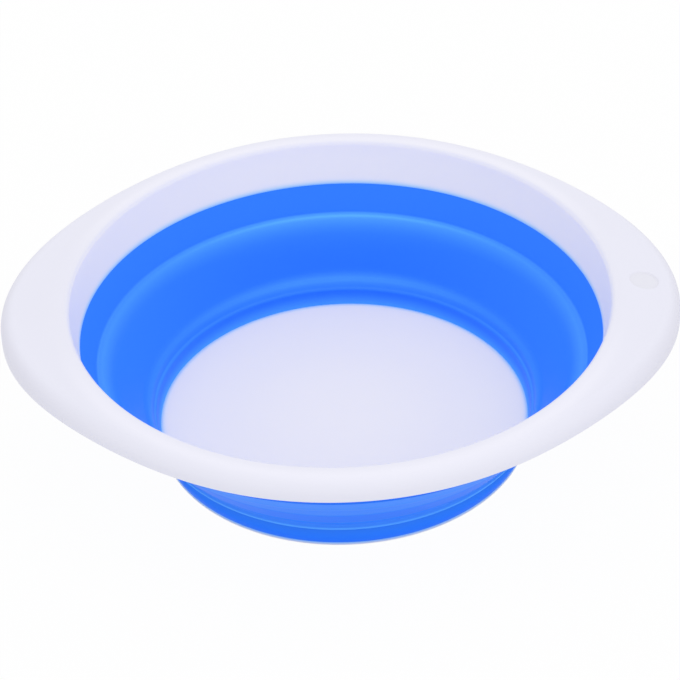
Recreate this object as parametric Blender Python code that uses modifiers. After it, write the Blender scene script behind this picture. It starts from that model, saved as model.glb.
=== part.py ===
"""Collapsible wash basin: a white rim frame with two ear handles, a folding rubber wall and a round base plate.

The wall is one rubber moulding with two living hinges. It is modelled as the three bands that the hinges part.
The rim frame carries the upper band, the base plate carries the lower band, and the band between them turns over
when the rim is pressed down. All sizes are in metres, +Z is up, and the origin is the middle of the foot's
underside. Heights and radii of the wall are stacked from the floor up, so that a change in one band moves
everything above and outside it.
"""

import math

import bmesh
import bpy
from mathutils import Matrix, Vector

# Facets round every turned piece, the same everywhere so that facing pieces keep an even gap
SIDES = 72
DIMPLE_SIDES = 24
ARC_STEPS = 4
CROWN_STEPS = 3
LEDGE_STEPS = 4

# Gap that neighbouring mouldings keep, and the share of it under which two points are one
CLEARANCE = 0.0003
MERGE_SHARE = 0.03

# Base plate
FLOOR_RADIUS = 0.0984
FLOOR_HEIGHT = 0.0080
FLOOR_THICKNESS = 0.0025
FOOT_WALL = 0.0022
FOOT_DRAFT = 0.0025
FOOT_FLANGE_HEIGHT = 0.0020
FOOT_CHAMFER = 0.0006
BASE_RIB_RADIUS = 0.0600
BASE_RIB_WIDTH = 0.0018
BASE_RIB_DEPTH = 0.0025

# Folding wall, measured on its inner face
WALL_THICKNESS = 0.0022
HINGE_THICKNESS = 0.0011
LOWER_BAND_HEIGHT = 0.0086
LOWER_BAND_FLARE = 0.0017
STEP_WIDTH = 0.0012
STEP_RISE = 0.0004
TOE_HEIGHT = 0.0049
TOE_FLARE = 0.0016
FOLDING_BAND_HEIGHT = 0.0334
FOLDING_BAND_WIDTH = 0.0288
LEDGE_WIDTH = 0.0029
LEDGE_ROUNDING = 0.0080
UPPER_BAND_HEIGHT = 0.0150
UPPER_BAND_WIDTH = 0.0081
COLLAR_THICKNESS = 0.0025
COLLAR_REACH = 0.0031
COLLAR_DROP = 0.0020
OVERMOULD_HEIGHT = 0.0060
OVERMOULD_THICKNESS = 0.0016

# Rim frame
RIM_SHELL = 0.0022
RIM_WALL_HEIGHT = 0.0180
RIM_WALL_DRAFT = 0.0013
LIP_RADIUS = 0.0048
CROWN_RISE = 0.0012
RIM_WIDTH = 0.0187
EDGE_RADIUS = 0.0060
SKIRT_DEPTH = 0.0110
EAR_REACH = 0.0192
EAR_DROP = 0.0030
EAR_SKIRT_DEPTH = 0.0025
EAR_TAPER_POWER = 6.5
DIMPLE_RADIUS = 0.0075
DIMPLE_DEPTH = 0.0005
DIMPLE_SETBACK = 0.0185
CUTTER_OVERRUN = 0.0030
EAR_RIB_COUNT = 2
EAR_RIB_THICKNESS = 0.0016
EAR_RIB_PITCH = 0.0720
EAR_RIB_RECESS = 0.0030

# Key points of the wall's inner face, each a radius and a height
FLOOR_EDGE = (FLOOR_RADIUS, FLOOR_HEIGHT)
LOWER_HINGE = (FLOOR_RADIUS + LOWER_BAND_FLARE, FLOOR_HEIGHT + LOWER_BAND_HEIGHT)
STEP_END = (LOWER_HINGE[0] + STEP_WIDTH, LOWER_HINGE[1] + STEP_RISE)
TOE = (STEP_END[0] + TOE_FLARE, STEP_END[1] + TOE_HEIGHT)
UPPER_HINGE = (LOWER_HINGE[0] + FOLDING_BAND_WIDTH, LOWER_HINGE[1] + FOLDING_BAND_HEIGHT)
MOUTH = (UPPER_HINGE[0] + UPPER_BAND_WIDTH, UPPER_HINGE[1] + UPPER_BAND_HEIGHT)

# The collar's upper outer corner
COLLAR_TOP = (LOWER_HINGE[0] + COLLAR_REACH, LOWER_HINGE[1] - COLLAR_DROP)

# Key places of the rim frame
LIP_CENTRE = (MOUTH[0] + RIM_WALL_DRAFT + LIP_RADIUS, MOUTH[1] + RIM_WALL_HEIGHT)
CROWN_HEIGHT = LIP_CENTRE[1] + LIP_RADIUS + CROWN_RISE
RIM_RADIUS = MOUTH[0] + RIM_WALL_DRAFT + RIM_WIDTH
EAR_RADIUS = RIM_RADIUS + EAR_REACH


def clear_scene():
    """Removes every object that the open file holds."""
    for item in list(bpy.data.objects):
        bpy.data.objects.remove(item, do_unlink=True)


def new_collection(name):
    """A collection under the scene, empty and ready for use."""
    group = bpy.data.collections.new(name)
    bpy.context.scene.collection.children.link(group)
    return group


def plastic(name, colour, roughness, transmission):
    """A Principled material of one moulded plastic."""
    material = bpy.data.materials.new(name)
    material.use_nodes = True
    shader = material.node_tree.nodes["Principled BSDF"]
    shader.inputs["Base Color"].default_value = (*colour, 1.0)
    shader.inputs["Roughness"].default_value = roughness
    shader.inputs["Metallic"].default_value = 0.0
    shader.inputs["Transmission Weight"].default_value = transmission
    material.diffuse_color = (*colour, 1.0)
    return material


def add_object(name, mesh, material, group, parent):
    """An object in its collection, with its material and the empty that carries it."""
    item = bpy.data.objects.new(name, mesh)
    group.objects.link(item)
    mesh.materials.append(material)
    item.parent = parent
    return item


def turned(name, profile, closed, material, group, parent):
    """A piece turned about the Z axis from a profile of radii and heights, with a Screw modifier."""
    points = [(radius, 0.0, height) for radius, height in profile]
    edges = [(i, i + 1) for i in range(len(points) - 1)]
    if closed:
        edges.append((len(points) - 1, 0))
    mesh = bpy.data.meshes.new(name)
    mesh.from_pydata(points, edges, [])
    item = add_object(name, mesh, material, group, parent)
    screw = item.modifiers.new("turn", "SCREW")
    screw.axis = "Z"
    screw.angle = 2 * math.pi
    screw.steps = SIDES
    screw.render_steps = SIDES
    screw.use_merge_vertices = True
    screw.merge_threshold = CLEARANCE * MERGE_SHARE
    screw.use_smooth_shade = True
    return item


def outward(start, end):
    """The unit normal of the line from start to end, on its lower and outer side."""
    run = Vector((end[0] - start[0], end[1] - start[1])).normalized()
    return (run.y, -run.x)


def shifted(point, direction, distance):
    """The point moved a distance along a direction."""
    return (point[0] + direction[0] * distance, point[1] + direction[1] * distance)


def arc(centre, radius, start, end, steps=ARC_STEPS):
    """Points of a round stretch, from one angle to another, both ends included."""
    angles = [start + (end - start) * i / steps for i in range(steps + 1)]
    return [(centre[0] + radius * math.cos(a), centre[1] + radius * math.sin(a)) for a in angles]


def plate_edge(height):
    """Radius of the base plate's edge at a height, since it draws in from the floor to the table."""
    return FLOOR_RADIUS - FOOT_DRAFT * (FLOOR_HEIGHT - height) / FLOOR_HEIGHT


def foot_flange():
    """Radius of the flange that shows under the collar, flush with the collar's lower end."""
    return plate_edge(FOOT_FLANGE_HEIGHT) + COLLAR_THICKNESS


def base_plate_profile():
    """Floor disc, foot ring with its outward flange, and a stiffening ring under the floor."""
    flange = foot_flange()
    underside = FLOOR_HEIGHT - FLOOR_THICKNESS
    rib_end = underside - BASE_RIB_DEPTH
    rib_side = BASE_RIB_WIDTH / 2
    return [
        (0.0, FLOOR_HEIGHT),
        (FLOOR_RADIUS - CLEARANCE, FLOOR_HEIGHT),
        (plate_edge(FOOT_FLANGE_HEIGHT) - CLEARANCE, FOOT_FLANGE_HEIGHT),
        (flange, FOOT_FLANGE_HEIGHT),
        (flange, FOOT_CHAMFER),
        (flange - FOOT_CHAMFER, 0.0),
        (plate_edge(0.0) - FOOT_WALL, 0.0),
        (plate_edge(underside) - FOOT_WALL, underside),
        (BASE_RIB_RADIUS + rib_side, underside),
        (BASE_RIB_RADIUS + rib_side, rib_end),
        (BASE_RIB_RADIUS - rib_side, rib_end),
        (BASE_RIB_RADIUS - rib_side, underside),
        (0.0, underside),
    ]


def lower_band_profile():
    """Upright band under the lower hinge, which runs out below as a collar round the base plate's edge."""
    collar_end = FOOT_FLANGE_HEIGHT + CLEARANCE
    return [
        LOWER_HINGE,
        STEP_END,
        COLLAR_TOP,
        (foot_flange(), collar_end),
        (plate_edge(collar_end), collar_end),
        FLOOR_EDGE,
    ]


def folding_band_profile():
    """Band between the hinges: upright toe, steep slope and level ledge, thinned below at the upper hinge."""
    seat = outward(COLLAR_TOP, STEP_END)
    foot = shifted(STEP_END, seat, CLEARANCE)
    outer_foot = shifted(COLLAR_TOP, seat, CLEARANCE)
    centre = (UPPER_HINGE[0] - LEDGE_WIDTH, UPPER_HINGE[1] - LEDGE_ROUNDING)
    across = centre[0] - TOE[0]
    up = centre[1] - TOE[1]
    slope = math.atan2(up, across) + math.asin(LEDGE_ROUNDING / math.hypot(across, up))
    out = (math.sin(slope), -math.cos(slope))
    turn = (math.pi / 2 + slope, math.pi / 2)
    inner = arc(centre, LEDGE_ROUNDING, *turn, LEDGE_STEPS)
    outer = arc(centre, LEDGE_ROUNDING - WALL_THICKNESS, *turn, LEDGE_STEPS)
    end = UPPER_HINGE[0] - CLEARANCE / 2
    inner = [foot, TOE] + inner + [(end, UPPER_HINGE[1])]
    outer = [outer_foot, shifted(TOE, out, WALL_THICKNESS)] + outer + [(end, UPPER_HINGE[1] - HINGE_THICKNESS)]
    return outer[::-1] + inner


def upper_band_profile():
    """Cone under the mouth, whose bead grips the foot of the rim frame's inner wall from outside."""
    foot = UPPER_HINGE[0] + CLEARANCE / 2
    underside = UPPER_HINGE[1] - HINGE_THICKNESS
    out = outward(UPPER_HINGE, MOUTH)
    lean = RIM_WALL_DRAFT / RIM_WALL_HEIGHT
    cone = UPPER_BAND_WIDTH / UPPER_BAND_HEIGHT
    tongue_end = MOUTH[1] - RIM_SHELL * lean / math.hypot(1, lean)
    seat = tongue_end - CLEARANCE
    back = MOUTH[0] + (RIM_SHELL + CLEARANCE) * math.hypot(1, lean)
    bead_top = MOUTH[1] + OVERMOULD_HEIGHT
    bead_end = seat - OVERMOULD_THICKNESS
    bead = back + lean * OVERMOULD_HEIGHT + OVERMOULD_THICKNESS
    under = shifted(MOUTH, out, WALL_THICKNESS)
    return [
        (back + lean * OVERMOULD_HEIGHT, bead_top),
        (bead, bead_top),
        (bead, bead_end),
        (under[0] + cone * (bead_end - under[1]), bead_end),
        (under[0] + cone * (underside - under[1]), underside),
        (foot, underside),
        (foot, UPPER_HINGE[1]),
        (MOUTH[0] - cone * (MOUTH[1] - seat), seat),
        (back - lean * (MOUTH[1] - seat), seat),
    ]


def ear_share(angle):
    """How far the section at an angle has become ear: 1 at the ears' ends and 0 across the plain sides."""
    return abs(math.cos(angle)) ** EAR_TAPER_POWER


def rim_section(angle, inset=0.0):
    """The rim's section at an angle, from the foot of its inner wall over lip and crown to the skirt's edge.

    With an inset, it is the same section that far inside the shell.
    """
    share = ear_share(angle)
    outer = RIM_RADIUS + EAR_REACH * share
    crown = CROWN_HEIGHT - EAR_DROP * share
    skirt_edge = crown - SKIRT_DEPTH - EAR_SKIRT_DEPTH * share
    lip_top = LIP_CENTRE[1] + LIP_RADIUS
    crown_start = LIP_CENTRE[0]
    crown_end = outer - EDGE_RADIUS
    points = [(MOUTH[0] + inset, MOUTH[1])]
    points += arc(LIP_CENTRE, LIP_RADIUS - inset, math.pi, math.pi / 2)
    for step in range(1, CROWN_STEPS):
        part = step / CROWN_STEPS
        rise = part * part * (3 - 2 * part)
        height = lip_top + (crown - lip_top) * rise
        points.append((crown_start + (crown_end - crown_start) * part, height - inset))
    points += arc((crown_end, crown - EDGE_RADIUS), EDGE_RADIUS - inset, math.pi / 2, 0.0)
    points.append((outer - inset, skirt_edge))
    return points


def rim_surface_mesh(name):
    """Open surface lofted from the section at every facet angle round the basin."""
    angles = [2 * math.pi * i / SIDES for i in range(SIDES)]
    points = []
    for angle in angles:
        points += [(r * math.cos(angle), r * math.sin(angle), z) for r, z in rim_section(angle)]
    row = len(points) // SIDES
    faces = []
    for side in range(SIDES):
        here = side * row
        beyond = (side + 1) % SIDES * row
        for step in range(row - 1):
            faces.append((here + step, here + step + 1, beyond + step + 1, beyond + step))
    mesh = bpy.data.meshes.new(name)
    mesh.from_pydata(points, [], faces)
    mesh.shade_smooth()
    return mesh


def flat_plate(name, outline, thickness, group):
    """A plate from a flat outline in X and Z, thick along Y, made from a filled curve."""
    curve = bpy.data.curves.new(name, "CURVE")
    curve.dimensions = "2D"
    curve.fill_mode = "BOTH"
    curve.extrude = thickness / 2
    spline = curve.splines.new("POLY")
    spline.points.add(len(outline) - 1)
    for point, (across, height) in zip(spline.points, outline):
        point.co = (across, height, 0.0, 1.0)
    spline.use_cyclic_u = True
    drawn = bpy.data.objects.new(name + "_outline", curve)
    group.objects.link(drawn)
    drawn.matrix_world = Matrix.Rotation(math.pi / 2, 4, "X")
    bpy.context.view_layer.update()
    depsgraph = bpy.context.evaluated_depsgraph_get()
    mesh = bpy.data.meshes.new_from_object(drawn.evaluated_get(depsgraph))
    work = bmesh.new()
    work.from_mesh(mesh)
    bmesh.ops.remove_doubles(work, verts=work.verts, dist=CLEARANCE * MERGE_SHARE)
    bmesh.ops.recalc_face_normals(work, faces=work.faces)
    work.to_mesh(mesh)
    work.free()
    plate = bpy.data.objects.new(name, mesh)
    group.objects.link(plate)
    plate.matrix_world = drawn.matrix_world.copy()
    bpy.data.objects.remove(drawn, do_unlink=True)
    return plate


def ear_rib(name, angle, group):
    """Rib across the hollow underside of an ear, from the inner wall to the skirt, rooted in the shell."""
    outline = rim_section(angle, inset=RIM_SHELL / 2)
    skirt = outline[-1]
    low = skirt[1] + EAR_RIB_RECESS
    lean = RIM_WALL_DRAFT / RIM_WALL_HEIGHT
    wall = MOUTH[0] + lean * (low - MOUTH[1]) + RIM_SHELL / 2
    outline = [(wall, low)] + outline[1:-1] + [(skirt[0], low)]
    plate = flat_plate(name, outline, EAR_RIB_THICKNESS, group)
    plate.matrix_world = Matrix.Rotation(angle, 4, "Z") @ plate.matrix_world
    return plate


def dimple_cutter(name, group):
    """Shallow round dent in the top of one ear, square to the ear's gentle fall."""
    centre = EAR_RADIUS - DIMPLE_SETBACK
    start = LIP_CENTRE[0]
    end = EAR_RADIUS - EDGE_RADIUS
    lip_top = LIP_CENTRE[1] + LIP_RADIUS
    fall = CROWN_HEIGHT - EAR_DROP - lip_top
    part = (centre - start) / (end - start)
    height = lip_top + fall * part * part * (3 - 2 * part)
    slope = fall * 6 * part * (1 - part) / (end - start)
    mesh = bpy.data.meshes.new(name)
    work = bmesh.new()
    bmesh.ops.create_cone(
        work,
        cap_ends=True,
        segments=DIMPLE_SIDES,
        radius1=DIMPLE_RADIUS,
        radius2=DIMPLE_RADIUS,
        depth=CUTTER_OVERRUN,
    )
    work.to_mesh(mesh)
    work.free()
    cutter = bpy.data.objects.new(name, mesh)
    group.objects.link(cutter)
    lift = CUTTER_OVERRUN / 2 - DIMPLE_DEPTH
    tilt = Matrix.Rotation(-math.atan(slope), 4, "Y")
    place = Matrix.Translation((centre, 0.0, height))
    cutter.matrix_world = place @ tilt @ Matrix.Translation((0.0, 0.0, lift))
    return cutter


def boolean(item, tool, operation):
    """Joins or cuts an object with a tool, which then no longer shows."""
    step = item.modifiers.new(tool.name, "BOOLEAN")
    step.operation = operation
    step.solver = "EXACT"
    step.object = tool
    tool.hide_render = True
    tool.display_type = "WIRE"


def rim_frame(material, group, tools, parent):
    """Rim shell with its two ears, the ribs beneath them and the dent in one."""
    item = add_object("rim_frame", rim_surface_mesh("rim_frame"), material, group, parent)
    shell = item.modifiers.new("shell", "SOLIDIFY")
    shell.thickness = RIM_SHELL
    shell.offset = -1.0
    shell.use_even_offset = True
    shell.use_rim = True
    middle = (EAR_RIB_COUNT - 1) / 2
    for ear, facing in (("right", 0.0), ("left", math.pi)):
        for number in range(EAR_RIB_COUNT):
            angle = facing + (number - middle) * EAR_RIB_PITCH / EAR_RADIUS
            boolean(item, ear_rib(f"{ear}_ear_rib_{number + 1}", angle, tools), "UNION")
    boolean(item, dimple_cutter("ear_dimple", tools), "DIFFERENCE")
    return item


def carrier(name, group):
    """Empty on the basin's axis, along which the rim slides when the wall folds."""
    empty = bpy.data.objects.new(name, None)
    group.objects.link(empty)
    return empty


def build():
    """Makes the basin's five pieces, two on the rim, two on the base and the band that folds between them."""
    clear_scene()
    group = new_collection("collapsible_wash_basin")
    tools = new_collection("cutters_and_ribs")
    white = plastic("white_moulding", (0.80, 0.80, 0.86), 0.42, 0.0)
    blue = plastic("blue_rubber", (0.03, 0.20, 0.95), 0.38, 0.0)
    base = carrier("base_carrier", group)
    rim = carrier("rim_carrier", group)
    turned("base_plate", base_plate_profile(), False, white, group, base)
    turned("wall_lower_band", lower_band_profile(), True, blue, group, base)
    turned("wall_folding_band", folding_band_profile(), True, blue, group, base)
    turned("wall_upper_band", upper_band_profile(), True, blue, group, rim)
    rim_frame(white, group, tools, rim)


build()
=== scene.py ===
"""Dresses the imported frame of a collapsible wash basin: white rim with ears, folding blue wall, white base.

Every piece is a surface worked out with numpy from the sizes below. The frame gives the outer sizes, and the
property groups hold the sizes and colours that a user would change. Lengths are in metres, +Z is up, the
ears point along X and the camera looks along +Y.
"""

import math

import bpy
import numpy as np
from bpy.props import FloatProperty, FloatVectorProperty, PointerProperty
from mathutils import Matrix, Vector


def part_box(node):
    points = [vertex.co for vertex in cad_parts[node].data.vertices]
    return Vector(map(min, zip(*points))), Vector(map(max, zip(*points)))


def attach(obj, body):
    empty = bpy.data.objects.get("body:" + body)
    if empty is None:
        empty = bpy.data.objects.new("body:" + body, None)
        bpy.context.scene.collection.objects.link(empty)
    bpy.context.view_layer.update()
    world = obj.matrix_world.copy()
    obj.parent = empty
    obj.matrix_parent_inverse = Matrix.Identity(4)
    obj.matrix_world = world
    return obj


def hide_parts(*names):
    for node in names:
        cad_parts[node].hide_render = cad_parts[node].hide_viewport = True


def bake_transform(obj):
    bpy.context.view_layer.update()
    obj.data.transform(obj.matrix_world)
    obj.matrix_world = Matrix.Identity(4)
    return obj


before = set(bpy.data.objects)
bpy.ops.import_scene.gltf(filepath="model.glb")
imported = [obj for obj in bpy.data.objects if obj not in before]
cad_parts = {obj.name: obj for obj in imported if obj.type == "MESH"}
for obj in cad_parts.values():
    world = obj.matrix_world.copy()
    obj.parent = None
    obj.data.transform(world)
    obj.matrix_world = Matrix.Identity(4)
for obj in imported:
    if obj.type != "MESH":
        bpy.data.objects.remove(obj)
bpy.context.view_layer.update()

bl_info = {
    "name": "Collapsible wash basin",
    "version": (1, 0, 0),
    "blender": (4, 5, 0),
    "location": "View3D > Sidebar > Basin",
    "description": "Models the basin's rim, folding wall and base around its packed frame",
    "category": "Add Mesh",
}

BASE_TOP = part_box("base_plate")[1]
RIM_LOW, RIM_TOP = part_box("rim_frame")

MM = 0.001

# Points round a full turn of the blue pieces and the base, and of the rim
TURNS = 240
RIM_TURNS = 288

# Degrees to both sides of the dent's middle that have closer points, and their spacing
DENT_SPAN = 4.5
DENT_SPACING = 0.125

# Points on a rounded corner, on the rim's arcs, on its crown and along a rib
CORNER_POINTS = 6
ARC_POINTS = 14
CROWN_POINTS = 92
RIB_POINTS = 32

# First point of the rim's section that a rib reaches, a quarter of the way up the inner wall
RIB_START = 16

# Largest share of a side that a rounded corner cuts off
MOST_CUT = 0.49

# Strength and depth of the moulded grain, and scale of the broad noise that varies tint and roughness
GRAIN_STRENGTH = 0.25
GRAIN_DEPTH = 0.02 * MM
CLOUD_SCALE = 28

# How much the roughness varies, and the rubber's specular level
WHITE_SPREAD = 0.03
BLUE_SPREAD = 0.04
BLUE_GLOSS = 0.10

# How far the rubber's blue shines into the white, and the power of the distance by which it fades
SHINE_REACH = 1.5 * MM
SHINE_POWER = 1.4

# Light through the wall's ledge: its weight all round, what the back adds, and how it fades down the slope
LEDGE_LIGHT = 0.38
LEDGE_BACK = 0.23
LEDGE_FADE = 5.0 * MM
LEDGE_POWER = 1.3
LEDGE_END = 0.5 * MM

# Glint along the ledge's edge at the back, its place as a share of the ledge's width, and its own width
GLINT_LIGHT = 0.40
GLINT_PLACE = 0.8
GLINT_WIDTH = 1.0 * MM

# Light on the toe and the ridge over it: all round, at the back, and its broad, narrow and even parts
RIDGE_LIGHT = 0.55
RIDGE_BACK = 0.45
RIDGE_GLOW = 0.33
GLOW_WIDTH = 2.6 * MM
RIDGE_LINE = 0.13
LINE_WIDTH = 0.8 * MM
LINE_RISE = 0.3 * MM
TOE_LIGHT = 0.15

# Light on the step over the lower crease, on the fillet by the floor and on the cone under the mouth
STEP_LIGHT = 0.13
STEP_SIDES = 0.22
STEP_LIGHT_WIDTH = 0.6 * MM
FILLET_LIGHT = 0.42
FILLET_FADE = 8.0 * MM
FILLET_LINE = 0.25
CONE_LIGHT = 0.125

# Least light on the whole wall at the sides, and how much the sides strengthen the rest
SIDE_LIGHT = 0.15
SIDE_GAIN = 0.2

# Short fade at the edge of a tint, and the height over which the painted light above the outside's line falls
# to half
TINT_EDGE = 1.0 * MM
LIGHT_ABOVE_FADE = 12.0 * MM

# Light line on the collar's corner: its middle and spread in heights of the line, the light above it, and
# where the thick rubber's tint ends under it
COLLAR_MIDDLE = -0.1
COLLAR_SPREAD = math.sqrt(0.3)
COLLAR_TOP_LIGHT = 0.45
COLLAR_THICK = -0.5

# Painted highlight on the crown: its distance from the inner wall, less at the back and more in front, and
# its width
CROWN_HIGHLIGHT_PLACE = 5.7 * MM
CROWN_HIGHLIGHT_SHIFT = 2.3 * MM
CROWN_HIGHLIGHT_WIDTH = 4.0 * MM

# Width of the painted shade round the ears' ends
EAR_SHADE_WIDTH = 7.0 * MM

# Painted light on the floor: weight of the inside's lighter white in its middle, the radius where that ends,
# and the width of its growth towards the edge, where the wall shades the floor
FLOOR_LIGHT_MIDDLE = 0.7
FLOOR_LIGHT_EVEN = 50.0 * MM
FLOOR_LIGHT_FADE = 45.0 * MM

# How much faster the rubber's blue light fades on the floor, and its weight and depth on the flange
FLOOR_SHINE = 1.2
FLANGE_LIGHT = 0.88
FLANGE_FADE = 1.6 * MM

# Softbox: side, distance from the basin and height of its aim; and half the side of the stage's floor
SOFTBOX_SIZE = 1.8
SOFTBOX_DISTANCE = 2.0
SOFTBOX_AIM = 50.0 * MM
FLOOR_REACH = 4.0


def length(name, default, description):
    """A length in metres for a property group."""
    return FloatProperty(name=name, default=default, description=description, unit="LENGTH", precision=5)


def angle(name, default, description):
    """An angle in radians for a property group."""
    return FloatProperty(name=name, default=default, description=description, subtype="ANGLE")


def number(name, default, description):
    """A plain number for a property group."""
    return FloatProperty(name=name, default=default, description=description)


def colour(name, default, description):
    """A colour for a property group, in linear light."""
    return FloatVectorProperty(
        name=name, default=default, description=description, subtype="COLOR", size=3, min=0, max=1
    )


class BasinWallSizes(bpy.types.PropertyGroup):
    """Sizes of the folding wall, measured on its inner face from the floor up."""

    floor_radius: length("Floor radius", 98.4 * MM, "Inner radius of the wall at the floor")
    lower_height: length("Lower band height", 8.6 * MM, "From the floor to the lower crease")
    lower_flare: length("Lower band flare", 1.7 * MM, "How far the lower band leans out")
    fillet_width: length("Fillet width", 1.3 * MM, "How far the lower band curves out from the floor")
    fillet_height: length("Fillet height", 4.5 * MM, "Height of that curve")
    step_width: length("Step width", 1.2 * MM, "Width of the step over the lower crease")
    step_rise: length("Step rise", 0.9 * MM, "Height of the step over the lower crease")
    toe_height: length("Toe height", 4.4 * MM, "Height of the upright foot of the folding band")
    toe_flare: length("Toe flare", 1.6 * MM, "How far the upright foot leans out")
    sill_width: length("Sill width", 3.1 * MM, "Width of the flatter strip above the toe")
    sill_rise: length("Sill rise", 2.3 * MM, "Height of the flatter strip above the toe")
    folding_height: length("Folding band height", 33.4 * MM, "Between the two creases")
    folding_width: length("Folding band width", 28.8 * MM, "Between the two creases, seen from above")
    ledge_width: length("Ledge width", 2.8 * MM, "Width of the ledge inside the upper crease")
    ledge_angle: angle("Ledge angle", math.radians(10), "Slope of the ledge")
    knee_angle: angle("Knee angle", math.radians(36), "Slope just under the ledge's edge")
    knee_length: length("Knee length", 7.0 * MM, "Length of that gentler slope")
    groove_height: length("Groove height", 17.5 * MM, "From the lower crease to the line round the outside")
    groove_depth: length("Groove depth", 0.2 * MM, "How much thinner the rubber is above that line")
    groove_width: length("Groove width", 0.8 * MM, "Height over which it gets thinner")
    mouth_radius: length("Mouth radius", 136.4 * MM, "Inner radius where the wall meets the rim")
    tuck: length("Tuck", 1.0 * MM, "How far the wall's upper edge reaches behind the rim's foot")
    thickness: length("Thickness", 2.2 * MM, "Rubber thickness between the creases")
    hinge_thickness: length("Hinge thickness", 1.1 * MM, "Rubber thickness at the creases")
    lower_hinge: length("Lower hinge", 2.4 * MM, "Height over the lower crease where the rubber is full")
    upper_hinge: length("Upper hinge", 6.0 * MM, "The same distance on both sides of the upper crease")


class BasinRimSizes(bpy.types.PropertyGroup):
    """Sizes of the rim frame that its outer box doesn't give."""

    shell: length("Shell", 2.2 * MM, "Wall thickness of the moulding")
    wall_height: length("Inner wall height", 21.0 * MM, "From the mouth to the middle of the lip")
    wall_draft: length("Inner wall draft", 5.6 * MM, "How far the inner wall leans out")
    ear_upright: length("Ear upright", 2.2 * MM, "How much less the inner wall leans out at the ears")
    lip_radius: length("Lip radius", 3.0 * MM, "Rounding from the inner wall to the crown")
    edge_radius: length("Edge radius", 8.0 * MM, "Rounding from the crown to the skirt")
    skirt_depth: length("Skirt depth", 11.0 * MM, "From the crown to the skirt's edge on the plain sides")
    ear_skirt: length("Ear skirt", 2.5 * MM, "How much deeper the skirt is on the ears")
    ear_drop: length("Ear drop", 3.0 * MM, "How far the ears' ends lie under the crown")
    ear_power: number("Ear taper", 6.5, "Power of the cosine that draws the ears out of the ring")
    edge_rounding: length("Edge rounding", 0.6 * MM, "Rounding of the skirt's free edge")
    foot_rounding: length("Foot rounding", 0.12 * MM, "Rounding of the inner wall's foot")
    dent_radius: length("Dent radius", 7.8 * MM, "Radius of the round dent in the right ear")
    dent_depth: length("Dent depth", 0.6 * MM, "Depth of the round dent")
    dent_slope: length("Dent slope", 0.6 * MM, "Width of the slope down to its bottom")
    dent_setback: length("Dent setback", 18.5 * MM, "From the ear's end to the middle of the dent")
    rib_thickness: length("Rib thickness", 1.6 * MM, "Thickness of the ribs under the ears")
    rib_pitch: length("Rib pitch", 72.0 * MM, "Between the two ribs under an ear")
    rib_recess: length("Rib recess", 3.0 * MM, "How far the ribs end above the skirt's edge")


class BasinBaseSizes(bpy.types.PropertyGroup):
    """Sizes of the base plate, of the rubber collar round it and of the bead round the rim's foot."""

    floor_thickness: length("Floor thickness", 2.5 * MM, "Thickness of the floor disc")
    flange_height: length("Flange height", 2.0 * MM, "Height of the white flange under the collar")
    foot_draft: length("Foot draft", 2.5 * MM, "How far the plate's edge draws in down to the table")
    foot_wall: length("Foot wall", 2.2 * MM, "Thickness of the foot ring")
    ring_radius: length("Ring radius", 60.0 * MM, "Radius of the stiffening ring under the floor")
    ring_width: length("Ring width", 1.8 * MM, "Width of the stiffening ring")
    ring_depth: length("Ring depth", 2.5 * MM, "Depth of the stiffening ring")
    seam: length("Seam", 0.2 * MM, "How far the plate's edge reaches into the rubber")
    collar_thickness: length("Collar thickness", 2.5 * MM, "Thickness of the rubber collar at its lower end")
    collar_reach: length("Collar reach", 3.1 * MM, "From the lower crease out to the collar's upper corner")
    collar_drop: length("Collar drop", 2.0 * MM, "How far that corner lies under the lower crease")
    collar_line: length("Collar line", 1.1 * MM, "Height of the light line on that corner")
    crest_reach: length("Crest reach", 3.2 * MM, "From the lower crease out to the collar's upper end")
    crest_rise: length("Crest rise", 3.0 * MM, "How far that end lies over the lower crease")
    crest_width: length("Crest width", 0.5 * MM, "Width of that end")
    bead_height: length("Bead height", 6.0 * MM, "Height of the rubber bead outside the rim's foot")
    bead_thickness: length("Bead thickness", 1.6 * MM, "Thickness of the rubber bead")
    bead_bite: length("Bead bite", 0.3 * MM, "How far the bead reaches into the rim's foot")


class BasinFinish(bpy.types.PropertyGroup):
    """Colours and gloss of the two plastics, and the tints that paint light and shade onto them."""

    white: colour("White", (0.821, 0.821, 0.926), "Hard white plastic")
    # Painted light: lighter and less blue on the floor and inside the rim, against the shade and the blue
    # bounce there
    white_inside: colour("White inside", (0.990, 0.956, 0.938), "The same on the floor and inside the rim")
    # Painted highlight on the crown of the plain sides
    white_crown: colour("White crown", (0.872, 0.869, 0.970), "The same on the crown of the plain sides")
    # Painted shade: darker round the ears' ends
    white_edge: colour("White edge", (0.735, 0.730, 0.832), "The same round the ears' ends")
    white_lit: colour("White lit", (0.230, 0.610, 1.000), "The same where the rubber's blue shines into it")
    # Painted shade: darker on the bottom of the dent
    white_dent: colour("White dent", (0.798, 0.798, 0.881), "The same on the bottom of the dent")
    white_roughness: number("White roughness", 0.42, "Roughness of the white plastic")
    blue: colour("Blue", (0.025, 0.212, 0.940), "Blue rubber")
    blue_thick: colour("Blue thick", (0.028, 0.253, 0.970), "The same on the thick collar")
    # Painted light: lighter blue for light through the thin rubber, and painted highlights on the ledge,
    # ridge, step and collar
    blue_thin: colour("Blue thin", (0.124, 0.505, 1.000), "The same where light comes through")
    # Painted light: the folding band's outside lighter, for the basin's light coming through it
    blue_backlit: colour("Blue outside", (0.025, 0.250, 0.960), "The same on the folding band's outside")
    # Painted light: lighter still just above the line round the outside
    blue_light_above: colour("Blue pale", (0.048, 0.298, 0.960), "The same above the line round the outside")
    blue_light: colour("Blue light", (0.000, 0.000, 0.140), "Light that the rubber lets through everywhere")
    blue_roughness: number("Blue roughness", 0.46, "Roughness of the blue rubber")
    grain: length("Grain", 0.35 * MM, "Size of the moulded grain")


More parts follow.
